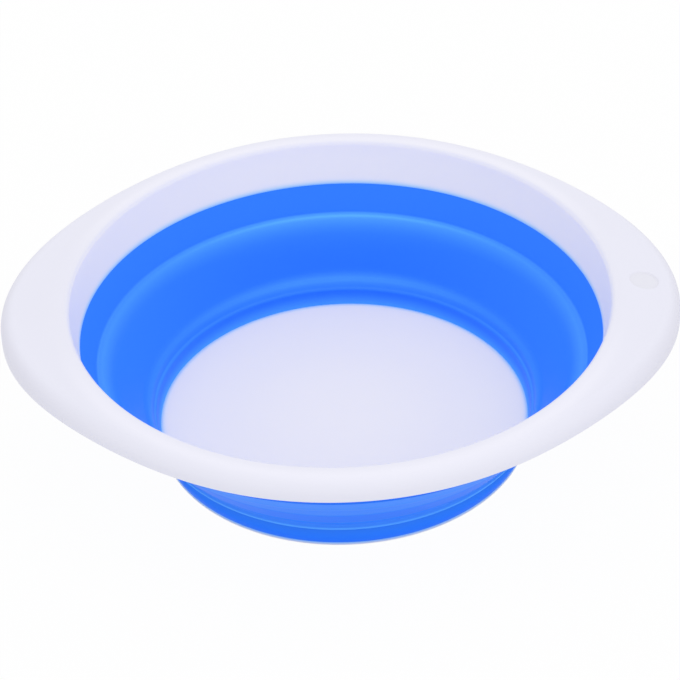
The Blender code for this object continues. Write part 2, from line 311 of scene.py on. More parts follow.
class BasinStudio(bpy.types.PropertyGroup):
    """Camera and light of the studio."""

    elevation: angle("Elevation", 0.636236, "How steeply the camera looks down")
    roll: angle("Roll", -0.0379417, "Tilt of the picture")
    yaw: angle("Yaw", -0.00061, "Small turn to the right")
    pitch: angle("Pitch", -0.0058415, "Small turn upwards")
    distance: length("Distance", 1.25581, "From the camera to its aim")
    aim_height: length("Aim height", 65.0 * MM, "Height of the aim")
    lens: FloatProperty(name="Lens", default=127.06, unit="CAMERA", description="Focal length")
    world: number("Surroundings", 0.945, "Strength of the light from all round")
    side: number("Side", 3.15, "Power of the softbox right of the camera, in watts")
    side_turn: angle("Side turn", math.radians(-45), "Where it stands, from the right ear towards the back")
    side_height: angle("Side height", math.radians(55), "Its height in the sky")
    floor: colour("Floor", (0.90, 0.90, 0.90), "Colour of the floor")
    floor_glow: number("Floor glow", 0.97, "Share of plain white in the floor's colour")


GROUPS = {
    "basin_wall": BasinWallSizes,
    "basin_rim": BasinRimSizes,
    "basin_base": BasinBaseSizes,
    "basin_finish": BasinFinish,
    "basin_studio": BasinStudio,
}


def smooth_step(t):
    """Goes from 0 to 1 with level ends: three t squared less two t cubed."""
    t = np.clip(t, 0.0, 1.0)
    return t * t * (3 - 2 * t)


def bell(distance, width):
    """Bell curve, 1 at no distance: e to the minus (distance over width) squared."""
    return np.exp(-((distance / width) ** 2))


def shine(distance):
    """How much of the rubber's blue shows in the white: e to the minus (distance over reach) to a power."""
    return np.exp(-((np.maximum(distance, 0) / SHINE_REACH) ** SHINE_POWER))


def line(start, end, count):
    """Points evenly spaced from start up to the end, without it: start plus a share of the way."""
    share = np.linspace(0, 1, count, endpoint=False)[:, None]
    return np.asarray(start, float) * (1 - share) + np.asarray(end, float) * share


def rounded(corners, steps=CORNER_POINTS, closed=True):
    """Outline through corners, each given as radius, height and rounding; an open one keeps both ends sharp.

    Each corner is cut back by its rounding over the tangent of half its angle, and a quadratic curve with
    equal legs, which is close to the arc, takes its place.
    """
    corners = np.asarray(corners, float)
    corners, rounding = corners[:, :2], corners[:, 2:]
    before = np.roll(corners, 1, axis=0) - corners
    after = np.roll(corners, -1, axis=0) - corners
    before_length = np.linalg.norm(before, axis=1, keepdims=True)
    after_length = np.linalg.norm(after, axis=1, keepdims=True)
    before = before / before_length
    after = after / after_length
    half = np.arccos(np.clip((before * after).sum(1, keepdims=True), -1, 1)) / 2
    cut = np.minimum(rounding / np.tan(half), MOST_CUT * np.minimum(before_length, after_length))
    t = np.linspace(0, 1, steps)[None, :, None]
    start = (corners + before * cut)[:, None]
    end = (corners + after * cut)[:, None]
    middle = corners[:, None]
    curve = start * (1 - t) ** 2 + middle * 2 * t * (1 - t) + end * t ** 2
    if closed:
        return curve.reshape(-1, 2)
    return np.vstack([corners[:1], curve[1:-1].reshape(-1, 2), corners[-1:]])


def refined(path, spacing):
    """The same path with a point added at every spacing along it, less those that nearly meet another."""
    closest = 0.2 * spacing
    reach = np.concatenate([[0], np.cumsum(np.linalg.norm(np.diff(path, axis=0), axis=1))])
    places = np.unique(np.concatenate([reach, np.arange(0, reach[-1], spacing)]))
    places = places[np.concatenate([[True], np.diff(places) > closest])]
    places[-1] = reach[-1]
    return np.stack([np.interp(places, reach, path[:, 0]), np.interp(places, reach, path[:, 1])], axis=1)


def grid_mesh(name, points, around, across):
    """Mesh of quads on a grid of points; around and across say which directions close on themselves."""
    rows, columns = points.shape[:2]
    index = np.arange(rows * columns).reshape(rows, columns)
    if around:
        index = np.vstack([index, index[:1]])
    if across:
        index = np.hstack([index, index[:, :1]])
    quads = np.stack([index[:-1, :-1], index[:-1, 1:], index[1:, 1:], index[1:, :-1]], axis=-1)
    return polygon_mesh(name, points.reshape(-1, 3), quads.reshape(-1, 4))


def polygon_mesh(name, points, quads):
    """Mesh from whole arrays of points and quads, shaded smooth."""
    mesh = bpy.data.meshes.new(name)
    mesh.vertices.add(len(points))
    mesh.vertices.foreach_set("co", np.asarray(points, np.float32).ravel())
    mesh.loops.add(quads.size)
    mesh.loops.foreach_set("vertex_index", quads.ravel().astype(np.int32))
    mesh.polygons.add(len(quads))
    mesh.polygons.foreach_set("loop_start", np.arange(0, quads.size, 4, dtype=np.int32))
    mesh.update(calc_edges=True)
    mesh.shade_smooth()
    return mesh


def set_weights(mesh, name, values):
    """Float attribute of a mesh, from a value for each of its points, or for those of one section."""
    attribute = mesh.attributes.new(name, "FLOAT", "POINT")
    attribute.data.foreach_set("value", np.resize(values, len(mesh.vertices)).astype(np.float32))


def swept_round(section, angles):
    """Points of a section carried round the Z axis: radius times cosine, radius times sine, and height."""
    turn = angles[:, None]
    radius = np.broadcast_to(section[..., 0], (len(angles), section.shape[-2]))
    height = np.broadcast_to(section[..., 1], radius.shape)
    return np.stack([radius * np.cos(turn), radius * np.sin(turn), height], axis=-1)


def full_turn(count):
    """Angles once round, evenly spaced."""
    return np.linspace(0, 2 * math.pi, count, endpoint=False)


def turned_mesh(name, section, closed=True):
    """Mesh of a section carried once round the Z axis."""
    return grid_mesh(name, swept_round(section, full_turn(TURNS)), around=True, across=closed)


def add_piece(name, mesh, material):
    """Object at the origin with its mesh and its material."""
    piece = bpy.data.objects.new(name, mesh)
    bpy.context.scene.collection.objects.link(piece)
    mesh.materials.append(material)
    return piece


def wall_places(scene):
    """Key points of the wall's inner face as radius and height: floor edge, both creases and mouth."""
    wall = scene.basin_wall
    floor = Vector((wall.floor_radius, BASE_TOP.z))
    lower = floor + Vector((wall.lower_flare, wall.lower_height))
    upper = lower + Vector((wall.folding_width, wall.folding_height))
    mouth = Vector((wall.mouth_radius, RIM_LOW.z))
    return floor, lower, upper, mouth


def plate_edge(scene, height):
    """Radius of the base plate's edge at a height: the floor's radius less the draft's share below it."""
    base = scene.basin_base
    return scene.basin_wall.floor_radius - base.foot_draft * (BASE_TOP.z - height) / BASE_TOP.z


def wall_path(scene):
    """Inner face of the wall as radius and height, from the flange up to the mouth.

    Fillet, upright band, narrow step, upright toe, flatter sill, steep slope, gentler slope above its knee,
    ledge, and the cone under the mouth, which runs on a little way behind the rim's foot. Every corner is
    rounded by the length beside it.
    """
    wall = scene.basin_wall
    floor, lower, upper, mouth = wall_places(scene)
    low = scene.basin_base.flange_height
    bend = floor + Vector((wall.fillet_width, wall.fillet_height))
    step = lower + Vector((wall.step_width, wall.step_rise))
    toe = step + Vector((wall.toe_flare, wall.toe_height))
    sill = toe + Vector((wall.sill_width, wall.sill_rise))
    ledge = upper - wall.ledge_width * Vector((math.cos(wall.ledge_angle), math.sin(wall.ledge_angle)))
    knee = ledge - wall.knee_length * Vector((math.cos(wall.knee_angle), math.sin(wall.knee_angle)))
    beyond = mouth + (mouth - upper).normalized() * wall.tuck
    corners = [
        (plate_edge(scene, low), low, 0),
        (*floor, 0.3 * MM),
        (*bend, 12 * MM),
        (*lower, 0.9 * MM),
        (*step, 1.2 * MM),
        (*toe, 3.0 * MM),
        (*sill, 8.0 * MM),
        (*knee, 22.0 * MM),
        (*ledge, 6.5 * MM),
        (*upper, 0.9 * MM),
        (*beyond, 0),
    ]
    return refined(rounded(corners, steps=11, closed=False), spacing=0.9 * MM)


def over_groove(scene, height):
    """How far a height lies over the line round the outside of the folding band."""
    _, lower, _, _ = wall_places(scene)
    return height - lower[1] - scene.basin_wall.groove_height


def wall_thickness(scene, radius, height):
    """Thickness of the rubber along the section, by smooth steps.

    Thin up to the lower crease, where the collar backs it, and at the upper one; full elsewhere, and a
    little less above the line round the outside.
    """
    wall = scene.basin_wall
    _, lower, upper, _ = wall_places(scene)
    thin = wall.hinge_thickness
    from_foot = smooth_step((height - lower[1]) / wall.lower_hinge)
    from_crease = smooth_step(np.abs(radius - upper[0]) / wall.upper_hinge)
    thickness = thin + (wall.thickness - thin) * np.minimum(from_foot, from_crease)
    folding = radius < upper[0] - wall.upper_hinge
    above = smooth_step(over_groove(scene, height) / wall.groove_width) * folding
    return np.maximum(thickness - wall.groove_depth * above, thin)


def wall_light_above(scene, height):
    """Weight of the painted light on the outside: full just above the line round it, and half of that further
    up.
    """
    above = over_groove(scene, height)
    falling = 1 - 0.5 * smooth_step(above / LIGHT_ABOVE_FADE)
    return smooth_step(above / scene.basin_wall.groove_width) * falling


def painted_wall_light(scene, radius, height):
    """Weight of the painted light on the wall, for each angle round it and point of its section: light
    through the thin rubber, and painted highlights.

    It adds up the light on the ledge, on the toe and the ridge over it, on the fillet by the floor, on the
    cone under the mouth and on the step, with more at the sides by powers of the cosine, and at the back by
    the fourth power of the sine.
    """
    wall = scene.basin_wall
    floor, lower, upper, _ = wall_places(scene)

    inward = upper[0] - radius
    down = np.maximum(inward - wall.ledge_width, 0) / LEDGE_FADE
    ledge = np.exp(-(down ** LEDGE_POWER)) * smooth_step(1 + inward / LEDGE_END)
    from_glint = inward - GLINT_PLACE * wall.ledge_width
    glint = LEDGE_BACK + GLINT_LIGHT * bell(from_glint, GLINT_WIDTH)

    over_crease = height - lower[1]
    over_ridge = over_crease - wall.step_rise - wall.toe_height
    on_toe = smooth_step(over_crease / TINT_EDGE) * smooth_step(0.5 - over_ridge / (2 * TINT_EDGE))
    ridge = TOE_LIGHT * on_toe
    ridge = ridge + RIDGE_GLOW * bell(over_ridge, GLOW_WIDTH)
    ridge = ridge + RIDGE_LINE * bell(over_ridge - LINE_RISE, LINE_WIDTH)

    over_floor = height - floor[1]
    fillet = FILLET_LIGHT * smooth_step(1 - over_floor / FILLET_FADE)
    fillet = fillet + FILLET_LINE * shine(over_floor)
    cone = CONE_LIGHT * smooth_step(-inward / TINT_EDGE)
    step = bell(over_crease - wall.step_rise / 2, STEP_LIGHT_WIDTH)

    turn = full_turn(TURNS)[:, None]
    back = np.maximum(np.sin(turn), 0) ** 4
    sides = np.cos(turn) ** 2
    all_round = LEDGE_LIGHT * ledge + RIDGE_LIGHT * ridge + fillet + cone
    light = np.maximum(all_round * (1 + SIDE_GAIN * sides ** 4), SIDE_LIGHT * sides)
    light = light + back * (glint * ledge + RIDGE_BACK * ridge)
    light = light + (STEP_LIGHT + STEP_SIDES * sides) * step
    return np.minimum(light, 1)


def rim_angles():
    """Angles round the rim: evenly spaced, and closer together across the dent in the right ear."""
    near = np.radians(np.arange(-DENT_SPAN, DENT_SPAN + DENT_SPACING / 2, DENT_SPACING))
    even = full_turn(RIM_TURNS)
    even = np.where(even > math.pi, even - 2 * math.pi, even)
    return np.unique(np.round(np.concatenate([near, even]), 7))


def rim_draft(scene, angles):
    """How far the rim's inner wall leans out: the draft, less by the cosine squared towards the ears."""
    rim = scene.basin_rim
    return rim.wall_draft - rim.ear_upright * np.cos(angles) ** 2


def ear_share(scene, angles):
    """How far the ears are drawn out of the ring at each angle, from 0 to 1: a power of the cosine."""
    return np.abs(np.cos(angles)) ** scene.basin_rim.ear_power


def rim_radius(share):
    """Outer radius of the rim: the plain radius plus the ears' reach times their share."""
    return RIM_TOP.y + (RIM_TOP.x - RIM_TOP.y) * share


def rim_outline(scene, angles, inset):
    """Sections of the rim at each angle, from the inner wall's foot over lip and crown to the skirt's edge.

    Lip and edge are arcs, and the crown between them is a smooth step in height. With an inset the section
    lies that far inside the shell. The free ends of both sections are rounded towards each other.
    """
    rim = scene.basin_rim
    share = ear_share(scene, angles)
    crown = RIM_TOP.z - rim.ear_drop * share
    skirt = crown - rim.skirt_depth - rim.ear_skirt * share
    mouth_radius = scene.basin_wall.mouth_radius
    draft = rim_draft(scene, angles)[:, None]
    lean = np.arctan2(draft, rim.wall_height)

    # Lip, crown and edge
    turn = (math.pi - lean) + (lean - math.pi / 2) * np.linspace(0, 1, ARC_POINTS)
    crown_start = mouth_radius + draft + rim.lip_radius
    lip_r = crown_start + (rim.lip_radius - inset) * np.cos(turn)
    lip_z = RIM_TOP.z - rim.lip_radius + (rim.lip_radius - inset) * np.sin(turn)
    part = np.linspace(0, 1, CROWN_POINTS)[1:-1]
    crown_end = (rim_radius(share) - rim.edge_radius)[:, None]
    crown_r = crown_start + (crown_end - crown_start) * part
    crown_z = RIM_TOP.z + (crown[:, None] - RIM_TOP.z) * smooth_step(part) - inset
    bend = np.linspace(math.pi / 2, 0, ARC_POINTS)
    edge_r = crown_end + (rim.edge_radius - inset) * np.cos(bend)
    edge_z = (crown - rim.edge_radius)[:, None] + (rim.edge_radius - inset) * np.sin(bend)

    # Skirt down to its free edge
    inward = -1.0 if inset == 0 else 1.0
    quarter = np.linspace(0, math.pi / 2, CORNER_POINTS)
    over = np.sin(quarter)
    inside = 1 - np.cos(quarter)
    stop = skirt[:, None] + rim.edge_rounding
    down = np.array([0.25, 0.5, 0.75, 0.95])
    skirt_z = np.hstack([edge_z[:, -1:] + (stop - edge_z[:, -1:]) * down, stop - rim.edge_rounding * over])
    skirt_r = edge_r[:, -1:] + np.concatenate([0 * down, inward * rim.edge_rounding * inside])

    # Foot and inner wall, with closer points in its lowest quarter, where the rubber's blue shines in
    foot_r = mouth_radius + inset * np.cos(lean) - inward * rim.foot_rounding * inside[::-1]
    foot_z = RIM_LOW.z + rim.foot_rounding * (1 - over[::-1])
    up = np.concatenate([np.linspace(0, 0.25, 12)[1:], np.linspace(0.25, 1, 8)[1:-1]])
    wall_r = foot_r[:, -1:] + (lip_r[:, :1] - foot_r[:, -1:]) * up
    wall_z = foot_z[-1] + (lip_z[:, :1] - foot_z[-1]) * up
    foot_z = np.broadcast_to(foot_z, foot_r.shape)

    radius = np.hstack([foot_r, wall_r, lip_r, crown_r, edge_r, skirt_r])
    height = np.hstack([foot_z, wall_z, lip_z, crown_z, edge_z, skirt_z])
    return np.stack([radius, height], axis=-1)


def rim_points(scene):
    """Closed shell of the rim, out on the outer section and back on the inner one, and the dent's share."""
    rim = scene.basin_rim
    angles = rim_angles()
    points_out = swept_round(rim_outline(scene, angles, 0.0), angles)
    points_in = swept_round(rim_outline(scene, angles, rim.shell)[:, ::-2], angles)
    centre = np.array([RIM_TOP.x - rim.dent_setback, 0.0])
    away = np.linalg.norm(points_out[..., :2] - centre, axis=-1)
    dent = smooth_step((rim.dent_radius - away) / rim.dent_slope)
    points_out[..., 2] -= rim.dent_depth * dent
    return np.concatenate([points_out, points_in], axis=1), np.hstack([dent, np.zeros(points_in.shape[:2])])


def principled(name):
    """New material, its shader and its node tree's tools."""
    material = bpy.data.materials.new(name)
    material.use_nodes = True
    nodes = material.node_tree.nodes
    links = material.node_tree.links
    return material, nodes["Principled BSDF"], nodes, links


def grained(shader, nodes, links, size, roughness, spread):
    """Fine moulded grain: noise in the object's coordinates drives a slight bump and varies the gloss."""
    place = nodes.new("ShaderNodeTexCoord")
    fine = nodes.new("ShaderNodeTexNoise")
    fine.inputs["Scale"].default_value = 1 / size
    fine.inputs["Detail"].default_value = 3
    links.new(place.outputs["Object"], fine.inputs["Vector"])
    bump = nodes.new("ShaderNodeBump")
    bump.inputs["Strength"].default_value = GRAIN_STRENGTH
    bump.inputs["Distance"].default_value = GRAIN_DEPTH
    links.new(fine.outputs["Fac"], bump.inputs["Height"])
    links.new(bump.outputs["Normal"], shader.inputs["Normal"])
    broad = nodes.new("ShaderNodeTexNoise")
    broad.inputs["Scale"].default_value = CLOUD_SCALE
    broad.inputs["Detail"].default_value = 4
    links.new(place.outputs["Object"], broad.inputs["Vector"])
    gloss = nodes.new("ShaderNodeMapRange")
    gloss.inputs["To Min"].default_value = roughness - spread
    gloss.inputs["To Max"].default_value = roughness + spread
    links.new(broad.outputs["Fac"], gloss.inputs["Value"])
    links.new(gloss.outputs["Result"], shader.inputs["Roughness"])
    return broad


def mixed(nodes, links, shader, factor, tint):
    """Mix node for the shader's base colour, with a node's Fac as its factor and a second colour."""
    mix = nodes.new("ShaderNodeMix")
    mix.data_type = "RGBA"
    mix.inputs["B"].default_value = (*tint, 1)
    links.new(factor.outputs["Fac"], mix.inputs["Factor"])
    links.new(mix.outputs["Result"], shader.inputs["Base Color"])
    return mix


def tinted(nodes, links, shader, pattern, dark, light):
    """Base colour between two close tints, by a broad noise."""
    mix = mixed(nodes, links, shader, pattern, light)
    mix.inputs["A"].default_value = (*dark, 1)
    return mix


def weighed(nodes, links, shader, body, name, tint):
    """Mixes the body's colour with a tint by a float attribute of the mesh."""
    weight = nodes.new("ShaderNodeAttribute")
    weight.attribute_name = name
    mix = mixed(nodes, links, shader, weight, tint)
    links.new(body.outputs["Result"], mix.inputs["A"])
    return mix


def white_plastic(scene):
    """Hard white moulding: satin, a breath of grain, and five tints of painted light and shade, each by an
    attribute of the mesh.
    """
    finish = scene.basin_finish
    found = bpy.data.materials.get("white_plastic_moulding")
    if found:
        return found
    material, shader, nodes, links = principled("white_plastic_moulding")
    pattern = grained(shader, nodes, links, finish.grain, finish.white_roughness, WHITE_SPREAD)
    white = Vector(finish.white)
    body = tinted(nodes, links, shader, pattern, white * 0.99, white * 1.01)
    for name in ("inside", "crown", "edge", "lit", "dent"):
        body = weighed(nodes, links, shader, body, name, getattr(finish, "white_" + name))
    return material


def blue_rubber(scene, outside=False):
    """Soft blue rubber: satin, a little light through it everywhere, and painted light and highlights by the
    mesh's attributes.

    The folding band's outside is painted lighter, for the basin's light coming through it, and lighter still
    above the line round it.
    """
    finish = scene.basin_finish
    name = "blue_rubber_outside" if outside else "blue_rubber_moulding"
    found = bpy.data.materials.get(name)
    if found:
        return found
    material, shader, nodes, links = principled(name)
    pattern = grained(shader, nodes, links, finish.grain, finish.blue_roughness, BLUE_SPREAD)
    blue = Vector(finish.blue_backlit if outside else finish.blue)
    body = tinted(nodes, links, shader, pattern, blue * 0.98, blue)
    for name in ("light_above" if outside else "thick", "thin"):
        body = weighed(nodes, links, shader, body, name, getattr(finish, "blue_" + name))
    shader.inputs["Specular IOR Level"].default_value = BLUE_GLOSS
    shader.inputs["Emission Color"].default_value = (*finish.blue_light, 1)
    shader.inputs["Emission Strength"].default_value = 1.0
    return material


class BASIN_OT_rim(bpy.types.Operator):
    """Makes the rim shell with both ears and the round dent in the right one"""

    bl_idname = "basin.rim"
    bl_label = "Rim frame"

    def execute(self, context):
        scene = context.scene
        points, dent = rim_points(scene)
        mesh = grid_mesh("rim", points, around=True, across=True)
        x, y, z = np.moveaxis(points, -1, 0)
        angles = np.arctan2(y, x)
        radius = np.hypot(x, y)
        beyond = radius - scene.basin_wall.mouth_radius - rim_draft(scene, angles)
        ear = ear_share(scene, angles)
        # Painted highlight along the crown, nearer the lip at the back and further out in front
        highlight_place = CROWN_HIGHLIGHT_PLACE - CROWN_HIGHLIGHT_SHIFT * np.sin(angles)
        # Painted light: the inner wall lighter and less blue, against its shade and the blue bounce
        set_weights(mesh, "inside", smooth_step(1 - beyond / TINT_EDGE))
        set_weights(mesh, "crown", bell(beyond - highlight_place, CROWN_HIGHLIGHT_WIDTH) * smooth_step(1 - ear))
        # Painted shade round the ears' ends
        set_weights(mesh, "edge", ear * smooth_step(1 - (rim_radius(ear) - radius) / EAR_SHADE_WIDTH))
        set_weights(mesh, "lit", shine(z - RIM_LOW.z))
        # Painted shade on the bottom of the dent, besides its moulded depth
        set_weights(mesh, "dent", dent)
        rim = add_piece("rim", mesh, white_plastic(scene))
        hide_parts("rim_frame")
        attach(rim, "rim")
        return {"FINISHED"}


class BASIN_OT_ear_ribs(bpy.types.Operator):
    """Makes the two ribs in the hollow underside of each ear"""

    bl_idname = "basin.ear_ribs"
    bl_label = "Ear ribs"

    def execute(self, context):
        scene = context.scene
        rim = scene.basin_rim
        half = rim.rib_pitch / 2 / RIM_TOP.x
        angles = np.array([-half, half, math.pi - half, math.pi + half])
        shell = rim_outline(scene, angles, rim.shell / 2)[:, RIB_START:]
        low = shell[:, -1:, 1] + rim.rib_recess
        keep = np.linspace(0, shell.shape[1] - 1, RIB_POINTS).astype(int)
        top = shell[:, keep]
        bottom = np.stack([top[..., 0], np.broadcast_to(low, top.shape[:2])], axis=-1)
        top[..., 1] = np.maximum(top[..., 1], low)
        side = rim.rib_thickness / 2
        turn = angles[:, None]
        loops = []
        for profile, across in ((top, side), (top, -side), (bottom, -side), (bottom, side)):
            x = profile[..., 0] * np.cos(turn) - across * np.sin(turn)
            y = profile[..., 0] * np.sin(turn) + across * np.cos(turn)
            loops.append(np.stack([x, y, profile[..., 1]], axis=-1))
        points = np.stack(loops, axis=2)
        index = np.arange(points.size // 3).reshape(points.shape[:3])
        beyond = np.roll(index, -1, axis=2)
        walls = np.stack([index[:, :-1], index[:, 1:], beyond[:, 1:], beyond[:, :-1]], axis=-1)
        caps = np.concatenate([index[:, 0, :], index[:, -1, ::-1]])
        quads = np.concatenate([walls.reshape(-1, 4), caps])
        mesh = polygon_mesh("ear_ribs", points.reshape(-1, 3), quads)
        mesh.flip_normals()
        mesh.set_sharp_from_angle(angle=math.radians(40))
        piece = add_piece("ear_ribs", mesh, white_plastic(scene))
        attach(piece, "rim")
        return {"FINISHED"}


class BASIN_OT_wall(bpy.types.Operator):
    """Makes the folding wall as one sheet of rubber, thin at its two creases"""

    bl_idname = "basin.wall"
    bl_label = "Folding wall"

    def execute(self, context):
        scene = context.scene
        section = wall_path(scene)
        radius, height = section.T
        mesh = turned_mesh("wall", section, closed=False)
        # Painted light through the rubber, with painted highlights on the ledge's edge and on the ridge
        set_weights(mesh, "thin", painted_wall_light(scene, radius, height))
        # Painted light on the outside, above the line round it
        set_weights(mesh, "light_above", wall_light_above(scene, height))
        piece = add_piece("wall", mesh, blue_rubber(scene))
        mesh.materials.append(blue_rubber(scene, outside=True))
        thickness = wall_thickness(scene, radius, height)
        full = thickness.max()
        shares = np.tile(thickness / full, TURNS)
        group = piece.vertex_groups.new(name="thickness")
        for share in np.unique(shares):
            group.add(np.flatnonzero(shares == share).tolist(), float(share), "REPLACE")
        shell = piece.modifiers.new("thickness", "SOLIDIFY")
        shell.thickness = float(full)
        shell.offset = -1.0
        shell.vertex_group = group.name
        shell.use_rim = True
        shell.material_offset = 1
        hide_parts("wall_lower_band", "wall_folding_band", "wall_upper_band")
        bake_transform(piece)
        return {"FINISHED"}


class BASIN_OT_collar(bpy.types.Operator):
    """Makes the thick outside of the lower band, a collar round the base plate"""

    bl_idname = "basin.collar"
    bl_label = "Collar"

    def execute(self, context):
        scene = context.scene
        base = scene.basin_base
        floor, lower, _, _ = wall_places(scene)
        buried = scene.basin_wall.hinge_thickness / 2
        low = base.flange_height
        foot = plate_edge(scene, low)
        edge = Vector((foot + base.collar_thickness, low))
        top = Vector((lower[0] + base.collar_reach, lower[1] - base.collar_drop))
        crest = Vector((lower[0] + base.crest_reach, lower[1] + base.crest_rise))
        under = top + (edge - top).normalized() * base.collar_line
        over = top + (crest - top).normalized() * base.collar_line
        corners = [
            (foot + buried, low, 0.2 * MM),
            (*edge, 0.3 * MM),
            (*under, 0.1 * MM),
            (*top, 0.5 * MM),
            (*over, 0.1 * MM),
            (*crest, 0.3 * MM),
            (crest[0] - base.crest_width, crest[1], 0.3 * MM),
            (lower[0] + buried, lower[1] - buried, 0.3 * MM),
            (floor[0] + buried, floor[1], 0.2 * MM),
        ]
        section = rounded(corners)
        mesh = turned_mesh("collar", section)
        # Painted highlight on the collar's corner, and painted light on the face above it
        above = (section[:, 1] - top[1]) / base.collar_line
        corner_highlight = bell(above - COLLAR_MIDDLE, COLLAR_SPREAD)
        least = np.where(above > 0, COLLAR_TOP_LIGHT, 0)
        set_weights(mesh, "thin", np.maximum(corner_highlight, least))
        set_weights(mesh, "thick", above <= COLLAR_THICK)
        mesh.flip_normals()
        piece = add_piece("collar", mesh, blue_rubber(scene))
        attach(piece, "base")
        return {"FINISHED"}


class BASIN_OT_bead(bpy.types.Operator):
    """Makes the rubber bead that grips the foot of the rim's inner wall from outside"""

    bl_idname = "basin.bead"
    bl_label = "Bead"

    def execute(self, context):
        scene = context.scene
        rim = scene.basin_rim
        base = scene.basin_base
        thickness = scene.basin_wall.thickness
        _, _, upper, mouth = wall_places(scene)
        lean = rim_draft(scene, 0.0) / rim.wall_height * base.bead_height
        back = mouth[0] + rim.shell
        out = back + base.bead_thickness
        top = mouth[1] + base.bead_height
        cone = (mouth - upper).normalized()
        depth = 0.9 * thickness
        dip = 0.4 * MM
        under = mouth + Vector((cone[1], -cone[0])) * depth - cone * thickness
        corners = [
            (back - base.bead_bite, mouth[1] - dip, 0.2 * MM),
            (*under, 0.2 * MM),
            (out + lean / 2, mouth[1] - thickness, 0.7 * MM),
            (out + lean, top, 0.5 * MM),
            (back - base.bead_bite + lean, top, 0.2 * MM),
        ]
        mesh = turned_mesh("bead", rounded(corners))
        mesh.flip_normals()
        piece = add_piece("bead", mesh, blue_rubber(scene))
        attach(piece, "rim")
        return {"FINISHED"}


def base_section(scene):
    """Closed section of the base plate, from the floor's middle out, round the foot and back under it."""
    base = scene.basin_base
    top = BASE_TOP.z
    edge = scene.basin_wall.floor_radius + base.seam
    low_edge = plate_edge(scene, base.flange_height)
    flange = low_edge + base.collar_thickness
    under = top - base.floor_thickness
    ring_in = base.ring_radius - base.ring_width / 2
    ring_out = base.ring_radius + base.ring_width / 2
    ring_low = under - base.ring_depth
    hub = 1.0 * MM
    pinhole = 0.01 * MM
    margin_width = 7.0 * MM
    corners = [
        (hub, top, 0),
        (edge, top, 0.02 * MM),
        (low_edge + base.seam, base.flange_height, 0.1 * MM),
        (flange, base.flange_height, 0.35 * MM),
        (flange, 0.0, 0.8 * MM),
        (plate_edge(scene, 0.0) - base.foot_wall, 0.0, 0.6 * MM),
        (plate_edge(scene, under) - base.foot_wall, under, 0.8 * MM),
        (ring_out, under, 0.5 * MM),
        (ring_out, ring_low, 0.4 * MM),
        (ring_in, ring_low, 0.4 * MM),
        (ring_in, under, 0.5 * MM),
        (hub, under, 0),
    ]
    outline = rounded(corners)[CORNER_POINTS:-CORNER_POINTS]
    across_hub = np.linspace(pinhole, hub, CORNER_POINTS)[:, None]
    hub_top = np.insert(across_hub, 1, top, axis=1)
    hub_under = np.insert(across_hub[::-1], 1, under, axis=1)
    margin = line((edge - margin_width, top), (edge, top), count=14)
    middle = line((hub, top), margin[0], count=12)[1:]
    return np.vstack([hub_top, middle, margin, outline, hub_under])


class BASIN_OT_base(bpy.types.Operator):
    """Makes the base plate: floor disc, foot ring, flange and stiffening ring"""

    bl_idname = "basin.base"
    bl_label = "Base plate"

    def execute(self, context):
        scene = context.scene
        base = scene.basin_base
        section = base_section(scene)
        radius, height = section.T
        mesh = turned_mesh("base", section)
        edge = scene.basin_wall.floor_radius + base.seam
        under = BASE_TOP.z - base.floor_thickness
        # Painted light: the floor lighter and less blue, more so towards its edge, where the wall shades it
        outward = smooth_step((radius - FLOOR_LIGHT_EVEN) / FLOOR_LIGHT_FADE)
        on_top = height > BASE_TOP.z - base.floor_thickness / 2
        inside = (FLOOR_LIGHT_MIDDLE + (1 - FLOOR_LIGHT_MIDDLE) * outward) * on_top
        set_weights(mesh, "inside", inside)
        # Painted light: the rubber's blue light on the floor's edge and on the flange
        on_floor = shine(FLOOR_SHINE * (edge - radius)) * (height > under)
        on_flange = FLANGE_LIGHT * smooth_step(1 - (base.flange_height - height) / FLANGE_FADE)
        on_flange = on_flange * (height < under) * (radius > edge - base.foot_draft)
        set_weights(mesh, "lit", np.maximum(on_floor, on_flange))
        piece = add_piece("base", mesh, white_plastic(scene))
        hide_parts("base_plate")
        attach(piece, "base")
        return {"FINISHED"}


def camera_turn(studio):
    """Turn of the camera: tipped down by the elevation, then yaw, pitch and roll about its own axes."""
    tip = Matrix.Rotation(math.pi / 2 - studio.elevation, 4, "X")
    yaw = Matrix.Rotation(-studio.yaw, 4, "Y")
    pitch = Matrix.Rotation(studio.pitch, 4, "X")
    roll = Matrix.Rotation(studio.roll, 4, "Z")
    return tip @ yaw @ pitch @ roll


def add_camera(scene):
    """Camera before the basin, raised by its elevation and at its distance from the aim."""
    studio = scene.basin_studio
    lens = bpy.data.cameras.new("camera")
    lens.lens = studio.lens
    camera = bpy.data.objects.new("camera", lens)
    scene.collection.objects.link(camera)
    back = Vector((0, -math.cos(studio.elevation), math.sin(studio.elevation)))
    place = Vector((0, 0, studio.aim_height)) + back * studio.distance
    camera.matrix_world = Matrix.Translation(place) @ camera_turn(studio)
    scene.camera = camera


def background_factor(nodes, links):
    """One for rays from the camera, or seen in gloss or through glass, and zero for the rest."""
    path = nodes.new("ShaderNodeLightPath")
    total = path.outputs["Is Camera Ray"]
    for name in ("Is Glossy Ray", "Is Transmission Ray"):
        add = nodes.new("ShaderNodeMath")
        add.operation = "MAXIMUM"
        links.new(total, add.inputs[0])
        links.new(path.outputs[name], add.inputs[1])
        total = add.outputs[0]
    return total


